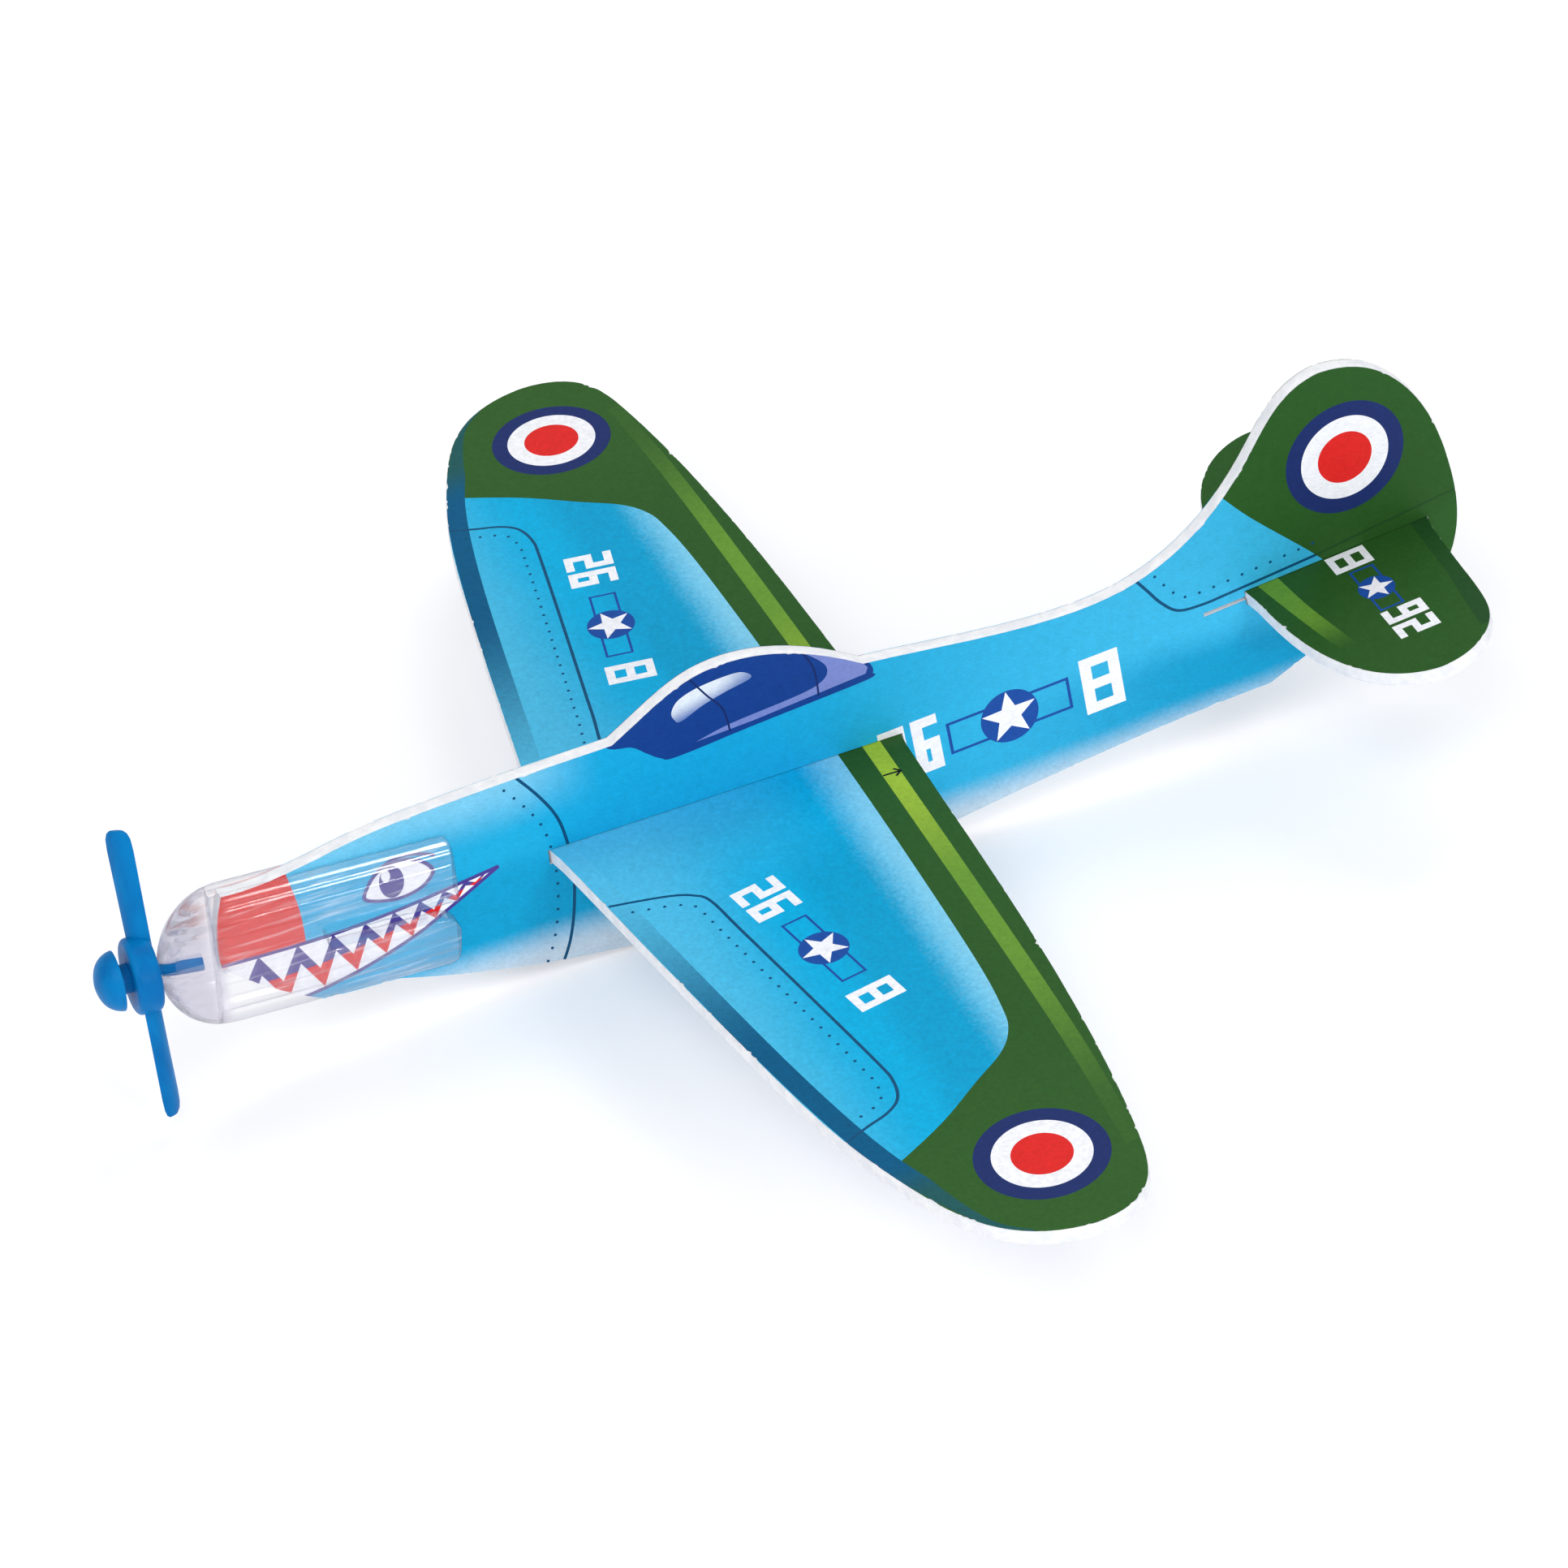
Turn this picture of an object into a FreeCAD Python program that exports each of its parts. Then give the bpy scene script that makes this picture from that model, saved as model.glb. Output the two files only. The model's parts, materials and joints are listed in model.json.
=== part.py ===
import FreeCAD, Part
import Sketcher
import os

# Slot-together foam glider, millimetres.
# +X points aft, +Y to starboard, +Z up. The origin is the middle of the flat belly.

V = FreeCAD.Vector

doc = FreeCAD.newDocument("foam_glider")

# ---------------------------------------------------------------- driving sizes

SIZES = {
    # foam sheet with its printed film
    "film_thick": 0.1,
    "fuselage_foam": 1.8,
    "flying_foam": 1.9,
    "sheet_thick": 2.0,
    "slot_gap": 0.1,
    # wing, flat, through the fuselage
    "wing_height": 17.4,
    "wing_front": -22.7,
    "wing_back": 23.1,
    "half_span": 94.8,
    # tailplane, tipped down at the front
    "tail_height": 22.7,
    "tail_middle": 81.8,
    "tail_front": -12.4,
    "tail_back": 12.6,
    "tail_half_span": 28.5,
    "tail_tip_down": 5.0,
    "tail_slit_lead": 5.8,
    "tail_slit_height": 0.6,
    # nose cap: oval in section, dome in front, two cheeks behind
    "nose_seat_along": -51.4,
    "nose_seat_height": 17.5,
    "nose_tilt": 4.4,
    "cap_front": -20.6,
    "cap_back": 16.2,
    "dome_depth": 8.6,
    "cap_half_width": 3.6,
    "cap_half_height": 10.2,
    "cap_corner": 2.6,
    "cheek_gap": 2.2,
    "cheek_root": -13.8,
    "slit_height": 2.1,
    "slit_root": -0.3,
    # pin and propeller
    "pin_radius": 0.75,
    "pin_depth": 5.5,
    "pin_head_radius": 3.7,
    "pin_head_depth": 2.85,
    "hub_radius": 4.7,
    "hub_thick": 3.2,
    "boss_radius": 1.8,
    "boss_length": 1.1,
    "running_gap": 0.08,
    "end_gap": 0.2,
    "prop_radius": 17.9,
    "prop_parked": -20.0,
    "blade_from_back": 1.1,
}

sheet = doc.addObject("Spreadsheet::Sheet", "sizes")
for row, (word, value) in enumerate(SIZES.items(), start=1):
    sheet.set("A%d" % row, word)
    sheet.set("B%d" % row, str(value))
    sheet.setAlias("B%d" % row, word)
doc.recompute()


def size(word):
    return float(sheet.get(word))


# ---------------------------------------------------------------- helpers

def make_body(name):
    body = doc.addObject("PartDesign::Body", name)
    body.Label = name
    return body


def plane(body, role):
    return next(f for f in body.Origin.OriginFeatures if f.Role == role)


def make_sketch(body, name, role, rise=None):
    """A sketch on one of the body's own planes, raised along the plane's normal."""
    sketch = body.newObject("Sketcher::SketchObject", name)
    sketch.AttachmentSupport = [(plane(body, role), "")]
    sketch.MapMode = "FlatFace"
    if rise:
        sketch.setExpression("AttachmentOffset.Base.z", rise)
    return sketch


def curve(points):
    """A smooth curve through the points."""
    spline = Part.BSplineCurve()
    spline.interpolate([V(x, y, 0) for x, y in points])
    return spline


def line(start, end):
    return Part.LineSegment(V(*start, 0), V(*end, 0))


def draw(sketch, runs):
    """Runs of points joined end to end: two points make a line, more a smooth curve."""
    for run in runs:
        sketch.addGeometry(line(*run) if len(run) == 2 else curve(run), False)


def pad(body, sketch, thickness, both_ways=False):
    feature = body.newObject("PartDesign::Pad", body.Name + "_pad")
    feature.Profile = sketch
    feature.setExpression("Length", thickness)
    feature.Midplane = both_ways
    sketch.Visibility = False
    return feature


def slot(body, name, corner_x, corner_y, long_side, short_side, tilt=0.0):
    """A rectangular hole right through the sheet, its sides bound to the sizes."""
    sketch = make_sketch(body, name + "_outline", "XZ_Plane")
    corner = V(0, 0, 0)
    sketch.AttachmentOffset = FreeCAD.Placement(corner, FreeCAD.Rotation(V(0, 0, 1), tilt))
    sketch.setExpression("AttachmentOffset.Base.x", corner_x)
    sketch.setExpression("AttachmentOffset.Base.y", corner_y)
    corners = [(0, 0), (10, 0), (10, 2), (0, 2)]
    for start, end in zip(corners, corners[1:] + corners[:1]):
        sketch.addGeometry(line(start, end), False)
    for side in range(4):
        sketch.addConstraint(Sketcher.Constraint("Coincident", side, 2, (side + 1) % 4, 1))
    sketch.addConstraint(Sketcher.Constraint("Horizontal", 0))
    sketch.addConstraint(Sketcher.Constraint("Horizontal", 2))
    sketch.addConstraint(Sketcher.Constraint("Vertical", 1))
    sketch.addConstraint(Sketcher.Constraint("Vertical", 3))
    sketch.addConstraint(Sketcher.Constraint("Coincident", 0, 1, -1, 1))
    for edge, sketch_size, name_of_size in ((0, long_side, "long_side"), (1, short_side, "short_side")):
        index = sketch.addConstraint(Sketcher.Constraint("Distance", edge, 5.0))
        sketch.renameConstraint(index, name_of_size)
        sketch.setExpression("Constraints." + name_of_size, sketch_size)
    pocket = body.newObject("PartDesign::Pocket", name)
    pocket.Profile = sketch
    pocket.Type = "ThroughAll"
    pocket.Midplane = True
    return pocket


# ---------------------------------------------------------------- fuselage and fin

FUSELAGE = [
    # back of the nose to the canopy
    [(-63.0, 27.3), (-53.3, 27.8), (-45.7, 29.2), (-36.3, 30.0), (-25.4, 30.4), (-13.0, 30.6)],
    # canopy
    [(-13.0, 30.6), (-8.1, 33.6), (-2.3, 36.4), (4.0, 37.0), (11.7, 35.0), (19.6, 30.5)],
    # spine and up the front of the fin
    [(19.6, 30.5), (28.0, 29.5), (43.1, 28.0), (55.0, 29.2), (63.8, 33.9), (70.8, 41.5), (76.9, 49.1),
     (81.4, 50.9)],
    # round the fin and down its back
    [(81.4, 50.9), (89.7, 48.1), (95.1, 40.8), (97.8, 31.8), (98.1, 21.2), (95.4, 15.4), (90.4, 13.2)],
    # underside, to the flat belly
    [(90.4, 13.2), (77.2, 10.2)],
    [(77.2, 10.2), (71.7, 7.6)],
    [(71.7, 7.6), (46.2, 5.3), (29.0, 2.8), (11.1, 0.0)],
    [(11.1, 0.0), (-11.1, 0.0)],
    # belly to the chin
    [(-11.1, 0.0), (-23.3, 1.6), (-31.4, 3.3), (-43.6, 6.9)],
    [(-43.6, 6.9), (-53.1, 7.6)],
    [(-53.1, 7.6), (-58.9, 11.5), (-64.8, 17.1)],
    [(-64.8, 17.1), (-64.4, 22.4), (-63.0, 27.3)],
]


def fuselage_layer(name, thickness, rise=None):
    """One layer of the fuselage sheet: slots for the wing and tailplane, and the slit the latter opened."""
    body = make_body(name)
    sketch = make_sketch(body, name + "_outline", "XZ_Plane", rise)
    draw(sketch, FUSELAGE)
    pad(body, sketch, thickness, both_ways=rise is None)
    slot(body, name + "_wing_slot", "sizes.wing_front - 2 * sizes.slot_gap",
         "sizes.wing_height - sizes.sheet_thick / 2 - sizes.slot_gap",
         "sizes.wing_back - sizes.wing_front + 4 * sizes.slot_gap", "sizes.sheet_thick + 2 * sizes.slot_gap")
    turn = "(sizes.tail_tip_down * 1deg)"
    for word, reach, lift, length in (
        ("_tail_slot", "(sizes.slot_gap - sizes.tail_front)", "(sizes.sheet_thick / 2 + sizes.slot_gap)",
         "sizes.tail_back - sizes.tail_front + 2 * sizes.slot_gap"),
        ("_tail_slit", "(sizes.tail_slit_lead - sizes.tail_front)", "(sizes.tail_slit_height / 2)",
         "sizes.tail_slit_lead + sizes.tail_back"),
    ):
        slot(body, name + word,
             "sizes.tail_middle - %s * cos(%s) + %s * sin(%s)" % (reach, turn, lift, turn),
             "sizes.tail_height - %s * sin(%s) - %s * cos(%s)" % (reach, turn, lift, turn),
             length, "2 * " + lift, tilt=size("tail_tip_down"))
    return body


fuselage_layer("fuselage_core", "sizes.fuselage_foam")
fuselage_layer("fuselage_skin_port", "sizes.film_thick", "sizes.fuselage_foam / 2")
fuselage_layer("fuselage_skin_starboard", "sizes.film_thick", "-sizes.fuselage_foam / 2 - sizes.film_thick")


# ---------------------------------------------------------------- wing and tailplane

def wing_half(side):
    tip = (7.9, side * size("half_span"))
    return [
        [(size("wing_front"), 0), (-19.2, side * 23.7), (-14.9, side * 51.4), (-11.4, side * 69.0),
         (-8.0, side * 79.5), (-3.4, side * 88.6), tip],
        [tip, (15.8, side * 91.2), (18.4, side * 83.0), (20.6, side * 65.6), (22.2, side * 39.5),
         (size("wing_back"), 0)],
    ]


def tail_half(side):
    tip = (1.2, side * size("tail_half_span"))
    return [
        [(size("tail_front"), 0), (-11.2, side * 12.5), (-9.5, side * 18.8), (-7.0, side * 23.5),
         (-3.2, side * 27.0), tip],
        [tip, (5.0, side * 27.8), (8.4, side * 25.7), (10.7, side * 22.4), (11.5, side * 18.6),
         (11.9, side * 11.0), (12.3, side * 4.0), (size("tail_back"), 0)],
    ]


def flying_layer(name, half, thickness, rise, place):
    """One layer of a flat flying surface, the same on both sides of the fuselage."""
    body = make_body(name)
    sketch = make_sketch(body, name + "_outline", "XY_Plane", rise)
    draw(sketch, half(1) + half(-1))
    pad(body, sketch, thickness)
    body.Placement = place
    return body


wing_place = FreeCAD.Placement(V(0, 0, size("wing_height")), FreeCAD.Rotation())
tail_turn = FreeCAD.Rotation(V(0, 1, 0), -size("tail_tip_down"))
tail_place = FreeCAD.Placement(V(size("tail_middle"), 0, size("tail_height")), tail_turn)
for part_name, half, place in (("wing", wing_half, wing_place), ("tailplane", tail_half, tail_place)):
    flying_layer(part_name + "_core", half, "sizes.flying_foam", "-sizes.sheet_thick / 2", place)
    flying_layer(part_name + "_skin", half, "sizes.film_thick", "sizes.flying_foam - sizes.sheet_thick / 2", place)


# ---------------------------------------------------------------- nose cap

nose_turn = FreeCAD.Rotation(V(0, 1, 0), size("nose_tilt"))
nose_place = FreeCAD.Placement(V(size("nose_seat_along"), 0, size("nose_seat_height")), nose_turn)


def rounded_block(x0, x1, z0, z1, radius, corners):
    """A block through the cap's width, with the named corners of its side view rounded."""
    reach = 2 * size("cap_half_width")
    block = Part.makeBox(x1 - x0, 2 * reach, z1 - z0, V(x0, -reach, z0))
    along_y = [e for e in block.Edges if abs(e.tangentAt(e.FirstParameter).y) > 0.99]
    picked = [e for e in along_y if (e.CenterOfMass.x > x0 + 1e-6, e.CenterOfMass.z > z0 + 1e-6) in corners]
    return block.makeFillet(radius, picked)


def cap_shape():
    half_width = size("cap_half_width")
    half_height = size("cap_half_height")
    dome_back = size("cap_front") + size("dome_depth")
    scale = FreeCAD.Matrix()
    scale.scale(size("dome_depth"), half_width, half_height)
    dome = Part.makeSphere(1.0).transformGeometry(scale)
    front = Part.makeBox(size("dome_depth"), 4 * half_width, 4 * half_height,
                         V(-size("dome_depth"), -2 * half_width, -2 * half_height))
    dome = dome.common(front)
    dome.translate(V(dome_back, 0, 0))
    oval = Part.Ellipse(V(0, 0, half_height), V(0, half_width, 0), V(0, 0, 0))
    face = Part.Face(Part.Wire(oval.toShape()))
    face.translate(V(dome_back, 0, 0))
    cheeks = face.extrude(V(size("cap_back") - dome_back, 0, 0))

    half_slit = size("slit_height") / 2
    upper = rounded_block(dome_back, size("cap_back"), half_slit, half_height,
                          size("cap_corner"), [(True, True)])
    lower = rounded_block(dome_back, size("cap_back"), -half_height, -half_slit,
                          size("cap_corner"), [(True, True), (True, False)])
    joined = Part.makeBox(size("slit_root") - dome_back, 4 * half_width, 2 * half_height,
                          V(dome_back, -2 * half_width, -half_height))
    cheeks = cheeks.common(upper.fuse([lower, joined]))
    cap = dome.fuse(cheeks)

    half_gap = size("cheek_gap") / 2
    gap = Part.makeBox(size("cap_back") - size("cheek_root") + 1, 2 * half_gap, 4 * half_height,
                       V(size("cheek_root"), -half_gap, -2 * half_height))
    bore = Part.makeCylinder(size("pin_radius"), size("pin_depth") + 1,
                             V(size("cap_front") - 1, 0, 0), V(1, 0, 0))
    return cap.cut([gap, bore]).removeSplitter()


# ---------------------------------------------------------------- pin and propeller

def head_back():
    """Where the pin's head faces the propeller, along the nose's own axis."""
    return size("cap_front") - 2 * size("end_gap") - size("hub_thick") - size("boss_length") - size("end_gap")


def pin_body():
    """A domed head and a shaft, turned about the nose's axis."""
    body = make_body("prop_pin")
    sketch = make_sketch(body, "prop_pin_outline", "XZ_Plane")
    back = head_back()
    depth = size("pin_head_depth")
    radius = size("pin_head_radius")
    tip = size("cap_front") + size("pin_depth")
    shaft = size("pin_radius")
    draw(sketch, [
        [(back - depth, 0), (back - 0.93 * depth, 0.35 * radius), (back - 0.66 * depth, 0.75 * radius),
         (back - 0.2 * depth, 0.97 * radius), (back, radius)],
        [(back, radius), (back, shaft)],
        [(back, shaft), (tip, shaft)],
        [(tip, shaft), (tip, 0)],
        [(tip, 0), (back - depth, 0)],
    ])
    turned = body.newObject("PartDesign::Revolution", "prop_pin_turned")
    turned.Profile = sketch
    turned.ReferenceAxis = (sketch, ["H_Axis"])
    turned.Angle = 360
    body.Placement = nose_place
    return body


# share of the radius, chord, pitch in degrees and thickness along a blade
BLADE = [
    (0.14, 3.3, 48.0, 1.4),
    (0.50, 3.5, 46.0, 1.1),
    (0.86, 3.7, 45.0, 0.9),
    (0.94, 3.5, 45.0, 0.85),
    (0.98, 2.9, 45.0, 0.7),
    (1.00, 1.9, 45.0, 0.5),
]


def blade_section(span, chord, pitch, thick):
    """A lens-shaped section across the blade, facing the slipstream at its pitch."""
    front = V(0, -chord / 2, 0)
    back = V(0, chord / 2, 0)
    upper = Part.Arc(front, V(-thick / 2, 0, 0), back).toShape()
    lower = Part.Arc(back, V(thick / 2, 0, 0), front).toShape()
    wire = Part.Wire([upper, lower])
    turn = FreeCAD.Rotation(V(0, 0, 1), pitch)
    place = FreeCAD.Placement(V(0, 0, span * size("prop_radius")), turn)
    return wire.transformGeometry(place.toMatrix())


def propeller_shape():
    hub_back = size("cap_front") - 2 * size("end_gap")
    hub = Part.makeCylinder(size("hub_radius"), size("hub_thick"), V(hub_back, 0, 0), V(-1, 0, 0))
    rims = [e for e in hub.Edges if e.Closed and e.Length > 6 * size("hub_radius")]
    hub = hub.makeFillet(0.22 * size("hub_thick"), rims)
    boss = Part.makeCylinder(size("boss_radius"), size("boss_length") + 1,
                             V(hub_back - size("hub_thick") + 1, 0, 0), V(-1, 0, 0))
    blade = Part.makeLoft([blade_section(*row) for row in BLADE], True, True)
    blade.translate(V(hub_back - size("blade_from_back"), 0, 0))
    blade.rotate(V(0, 0, 0), V(1, 0, 0), size("prop_parked"))
    other = blade.copy()
    other.rotate(V(0, 0, 0), V(1, 0, 0), 180)
    whole = hub.fuse([boss, blade, other])
    bore = Part.makeCylinder(size("pin_radius") + size("running_gap"), 4 * size("hub_thick"),
                             V(hub_back + 1, 0, 0), V(-1, 0, 0))
    return whole.cut(bore).removeSplitter()


def made_piece(name, shape):
    piece = doc.addObject("Part::Feature", name)
    piece.Label = name
    piece.Shape = shape
    piece.Placement = nose_place
    return piece


made_piece("nose_cap", cap_shape())
pin_body()
made_piece("propeller", propeller_shape())


# ---------------------------------------------------------------- check and write

doc.recompute()
PIECES = [
    "fuselage_core", "fuselage_skin_port", "fuselage_skin_starboard", "wing_core", "wing_skin",
    "tailplane_core", "tailplane_skin", "nose_cap", "prop_pin", "propeller",
]
for thing in doc.Objects:
    if "Invalid" in thing.State or "Error" in thing.State:
        raise RuntimeError("%s failed: %s" % (thing.Name, thing.State))
os.makedirs("parts", exist_ok=True)
for name in PIECES:
    shape = doc.getObject(name).Shape
    if shape.isNull() or not shape.isValid() or len(shape.Solids) != 1:
        raise RuntimeError(name + " isn't one valid solid")
    box = shape.BoundBox
    print("%-26s %9.1f mm3  x %.1f..%.1f  y %.1f..%.1f  z %.1f..%.1f" % (
        name, shape.Volume, box.XMin, box.XMax, box.YMin, box.YMax, box.ZMin, box.ZMax))
    shape.exportStep("parts/%s.step" % name)
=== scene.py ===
import bpy
import bmesh
import json
import math
from bpy.props import FloatProperty, FloatVectorProperty, PointerProperty
from bpy.types import Operator, Panel, PropertyGroup
from mathutils import Matrix, Vector, noise
from mathutils.geometry import delaunay_2d_cdt


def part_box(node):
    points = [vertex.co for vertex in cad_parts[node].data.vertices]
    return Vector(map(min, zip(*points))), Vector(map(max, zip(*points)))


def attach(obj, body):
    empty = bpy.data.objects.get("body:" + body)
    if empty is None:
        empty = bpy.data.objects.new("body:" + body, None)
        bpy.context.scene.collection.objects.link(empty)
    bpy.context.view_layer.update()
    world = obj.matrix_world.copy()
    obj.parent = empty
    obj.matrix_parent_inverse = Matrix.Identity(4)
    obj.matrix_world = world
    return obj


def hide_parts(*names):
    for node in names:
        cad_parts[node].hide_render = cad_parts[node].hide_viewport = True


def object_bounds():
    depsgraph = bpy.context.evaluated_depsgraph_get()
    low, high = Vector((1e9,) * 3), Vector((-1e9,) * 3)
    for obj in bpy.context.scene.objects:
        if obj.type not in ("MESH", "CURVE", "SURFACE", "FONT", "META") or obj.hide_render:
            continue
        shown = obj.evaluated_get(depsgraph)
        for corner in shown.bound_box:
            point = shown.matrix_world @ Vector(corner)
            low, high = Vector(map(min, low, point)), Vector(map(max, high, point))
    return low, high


bl_info = {
    "name": "Foam Fighter Glider",
    "version": (1, 0, 0),
    "blender": (4, 5, 0),
    "location": "3D View > Sidebar > Glider",
    "description": "Builds the printed foam, clear nose and propeller of a slot-together glider",
    "category": "Object",
}

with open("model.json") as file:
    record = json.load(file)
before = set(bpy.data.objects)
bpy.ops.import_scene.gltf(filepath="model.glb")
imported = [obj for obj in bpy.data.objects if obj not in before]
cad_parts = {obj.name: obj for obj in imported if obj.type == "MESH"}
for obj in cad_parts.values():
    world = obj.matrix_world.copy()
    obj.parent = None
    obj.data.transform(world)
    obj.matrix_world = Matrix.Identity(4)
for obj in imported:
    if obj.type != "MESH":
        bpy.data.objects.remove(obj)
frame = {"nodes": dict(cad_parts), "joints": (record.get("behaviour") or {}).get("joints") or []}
CAD_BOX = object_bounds()
MM = 0.001


# ------------------------------------------------------------------ sheets and their places
#
# Artwork and outlines are drawn flat, in millimetres, as (u, v) on a sheet, with w out of it.
# A place turns a sheet's own (u, v, w) into the glider's frame.

SHEET_THICK = 2.0
FILM_THICK = 0.1
SHEET_HALF = SHEET_THICK / 2
FUSELAGE_CORE_HALF = SHEET_HALF - FILM_THICK
FLYING_CORE_HALF = (SHEET_THICK - FILM_THICK) / 2
TAIL_TIP_DOWN = 5.0

FUSELAGE_PLACE = Matrix(((1, 0, 0, 0), (0, 0, -1, 0), (0, 1, 0, 0), (0, 0, 0, 1)))


def middle_mm(node):
    """The middle of a CAD node's box, in millimetres."""
    low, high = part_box(node)
    return (low + high) / (2 * MM)


def flying_place(node, tip_down):
    """A flying surface's own frame, about its middle, its leading edge tipped down by some degrees."""
    return Matrix.Translation(middle_mm(node)) @ Matrix.Rotation(-math.radians(tip_down), 4, "Y")


def nose_place():
    """The nose's own frame: u along the propeller's axis towards the tail, from the joint's point."""
    spin = next(j for j in frame["joints"] if j["name"] == "propeller_spin")
    aft = -Vector(spin["axis"]).normalized()
    across = Vector((0, 1, 0))
    up = aft.cross(across)
    turn = Matrix((aft, across, up)).transposed().to_4x4()
    return Matrix.Translation(Vector(spin["pos_m"]) / MM) @ turn


def set_in(place, points):
    """Points of a sheet, in millimetres, as metres in the glider's frame."""
    return [(place @ Vector(p)) * MM for p in points]


# ------------------------------------------------------------------ flat outlines

def flat_outlines(node, place, level):
    """The closed outlines of a CAD node's flat face at a height above its sheet, longest first."""
    back = place.inverted()
    mesh = frame["nodes"][node].data
    local = [back @ (v.co / MM) for v in mesh.vertices]
    spot = [(round(p.x, 3), round(p.y, 3)) for p in local]
    edges = set()
    for face in mesh.polygons:
        ids = list(face.vertices)
        if all(abs(local[i].z - level) < 0.01 for i in ids):
            if abs((back.to_3x3() @ face.normal).z) > 0.9:
                edges.update((spot[a], spot[b]) for a, b in zip(ids, ids[1:] + ids[:1]))
    onward = {a: b for a, b in edges if (b, a) not in edges}
    outlines = []
    while onward:
        start, here = onward.popitem()
        loop = [start]
        while here != start:
            loop.append(here)
            here = onward.pop(here)
        outlines.append(loop)
    return sorted(outlines, key=perimeter, reverse=True)


def distance(a, b):
    return math.hypot(b[0] - a[0], b[1] - a[1])


def perimeter(loop):
    return sum(distance(a, b) for a, b in zip(loop, loop[1:] + loop[:1]))


def signed_area(loop):
    return sum(a[0] * b[1] - b[0] * a[1] for a, b in zip(loop, loop[1:] + loop[:1])) / 2


def turned(loop):
    """The loop, counterclockwise."""
    return loop if signed_area(loop) > 0 else loop[::-1]


def bend(a, b, c):
    """How far a path turns at b, in radians."""
    first = math.atan2(b[1] - a[1], b[0] - a[0])
    second = math.atan2(c[1] - b[1], c[0] - b[0])
    return abs((second - first + math.pi) % (2 * math.pi) - math.pi)


def walk(points, step):
    """Evenly spaced points along an open path, with both ends."""
    lengths = [distance(a, b) for a, b in zip(points, points[1:])]
    total = sum(lengths)
    count = max(1, round(total / step))
    out = [points[0]]
    travelled = 0.0
    index = 0
    for k in range(1, count):
        goal = total * k / count
        while travelled + lengths[index] < goal:
            travelled += lengths[index]
            index += 1
        share = (goal - travelled) / lengths[index]
        a, b = points[index], points[index + 1]
        out.append((a[0] + (b[0] - a[0]) * share, a[1] + (b[1] - a[1]) * share))
    return out + [points[-1]]


def evened(loop, step, corner=0.4):
    """The loop with even steps, its corners kept."""
    n = len(loop)
    corners = [i for i in range(n) if bend(loop[i - 1], loop[i], loop[(i + 1) % n]) > corner] or [0]
    out = []
    for i, j in zip(corners, corners[1:] + [corners[0] + n]):
        out += walk([loop[k % n] for k in range(i, j + 1)], step)[:-1]
    return out


def drawn_in(loop, inward):
    """The counterclockwise loop, each point moved in by its own distance."""
    n = len(loop)
    out = []
    for i, (x, y) in enumerate(loop):
        (ax, ay), (bx, by) = loop[i - 1], loop[(i + 1) % n]
        length = distance((ax, ay), (bx, by)) or 1.0
        out.append((x - (by - ay) / length * inward[i], y + (bx - ax) / length * inward[i]))
    return out


def curve(points, steps=8, closed=False):
    """A smooth path through given points."""
    n = len(points)
    at = (lambda i: points[i % n]) if closed else (lambda i: points[min(max(i, 0), n - 1)])
    out = []
    for i in range(n if closed else n - 1):
        p0, p1, p2, p3 = (Vector(at(i + k)) for k in (-1, 0, 1, 2))
        for s in range(steps):
            t = s / steps
            spot = 0.5 * (2 * p1 + (p2 - p0) * t + (2 * p0 - 5 * p1 + 4 * p2 - p3) * t * t
                          + (3 * p1 - p0 - 3 * p2 + p3) * t * t * t)
            out.append((spot.x, spot.y))
    return out if closed else out + [tuple(points[-1])]


def beside(path, gap):
    """The path moved to its left by a gap."""
    out = []
    for i, (x, y) in enumerate(path):
        a = path[max(i - 1, 0)]
        b = path[min(i + 1, len(path) - 1)]
        length = distance(a, b)
        out.append((x - (b[1] - a[1]) / length * gap, y + (b[0] - a[0]) / length * gap))
    return out


# ------------------------------------------------------------------ solids from outlines

def holds(loop, box, spot):
    """Whether a loop, in its box, winds round a spot."""
    x, y = spot
    if not (box[0] < x < box[1] and box[2] < y < box[3]):
        return False
    winding = 0
    ax, ay = loop[-1]
    for bx, by in loop:
        if (ay > y) != (by > y) and x < (bx - ax) * (y - ay) / (by - ay) + ax:
            winding += 1 if by > ay else -1
        ax, ay = bx, by
    return winding != 0


def painted_triangles(shapes):
    """Triangles of the first shape's area: the points, and each triangle's corners with its topmost ink."""
    points = []
    edges = []
    boxes = []
    for _, loop in shapes:
        first, last = len(points), len(points) + len(loop) - 1
        edges += [(i, i + 1) for i in range(first, last)] + [(last, first)]
        points += [Vector(p) for p in loop]
        boxes.append((min(p[0] for p in loop), max(p[0] for p in loop),
                      min(p[1] for p in loop), max(p[1] for p in loop)))
    spots, _, corners, _, _, _ = delaunay_2d_cdt(points, edges, [], 0, 1e-4, False)
    spots = [tuple(s) for s in spots]
    top_first = [(ink, loop, box) for (ink, loop), box in zip(shapes, boxes)][::-1]
    found = []
    for ids in corners:
        middle = [sum(spots[i][k] for i in ids) / 3 for k in (0, 1)]
        if holds(shapes[0][1], boxes[0], middle):
            ink = next(ink for ink, loop, box in top_first if holds(loop, box, middle))
            if ink != "hole":
                found.append((ids, ink))
    return spots, found


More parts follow.
